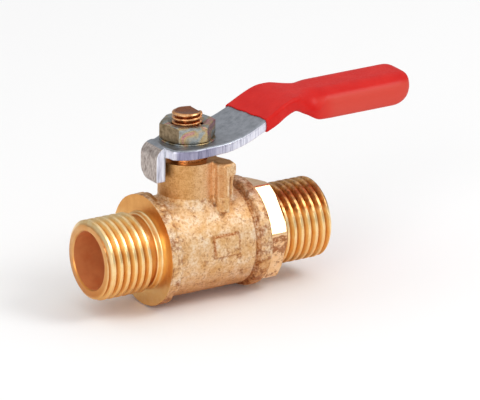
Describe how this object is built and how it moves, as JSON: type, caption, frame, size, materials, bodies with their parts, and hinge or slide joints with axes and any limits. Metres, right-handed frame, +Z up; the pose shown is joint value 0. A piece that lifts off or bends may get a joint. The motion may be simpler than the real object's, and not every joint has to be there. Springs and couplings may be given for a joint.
{
  "type": "ball valve",
  "caption": "Small quarter-turn ball valve with male threaded pipe ends, a hex end cap and a bent lever in a dipped sleeve.",
  "frame": {"origin": "centre of the ball, where the pipe axis meets the stem axis", "axes": "+X along the pipe towards the outlet and the lever's grip when open, +Z up the stem, +Y to the side that the grip swings to when it shuts"},
  "size_m": [0.059, 0.0184, 0.0317],
  "materials": {
    "cast_brass": "forged brass, sandblasted on the outside and machined at the flange, thread and bore",
    "turned_brass": "bright turned brass",
    "ball_chrome": "polished and chrome plated",
    "seat_ptfe": "white PTFE, turned",
    "stem_brass": "reddish turned brass with a cut thread",
    "oring_rubber": "black nitrile rubber",
    "lever_steel": "zinc plated sheet steel with sheared edges",
    "sleeve_vinyl": "dipped red vinyl with a soft gloss",
    "plated_steel": "yellow chromate over zinc, slightly iridescent"
  },
  "bodies": {
    "valve": {"valve_body": "cast_brass", "end_cap": "turned_brass", "seat_inlet": "seat_ptfe", "seat_outlet": "seat_ptfe", "stem_thrust_washer": "seat_ptfe"},
    "handle": {"ball": "ball_chrome", "stem": "stem_brass", "stem_oring_lower": "oring_rubber", "stem_oring_upper": "oring_rubber", "lever": "lever_steel", "lever_sleeve": "sleeve_vinyl", "lever_washer": "plated_steel", "lever_nut": "plated_steel"}
  },
  "joints": [
    {"name": "lever_turn", "type": "hinge", "parent": "valve", "child": "handle", "pos_m": [0, 0, 0], "axis": [0, 0, 1], "range_deg": [0, 90]}
  ]
}
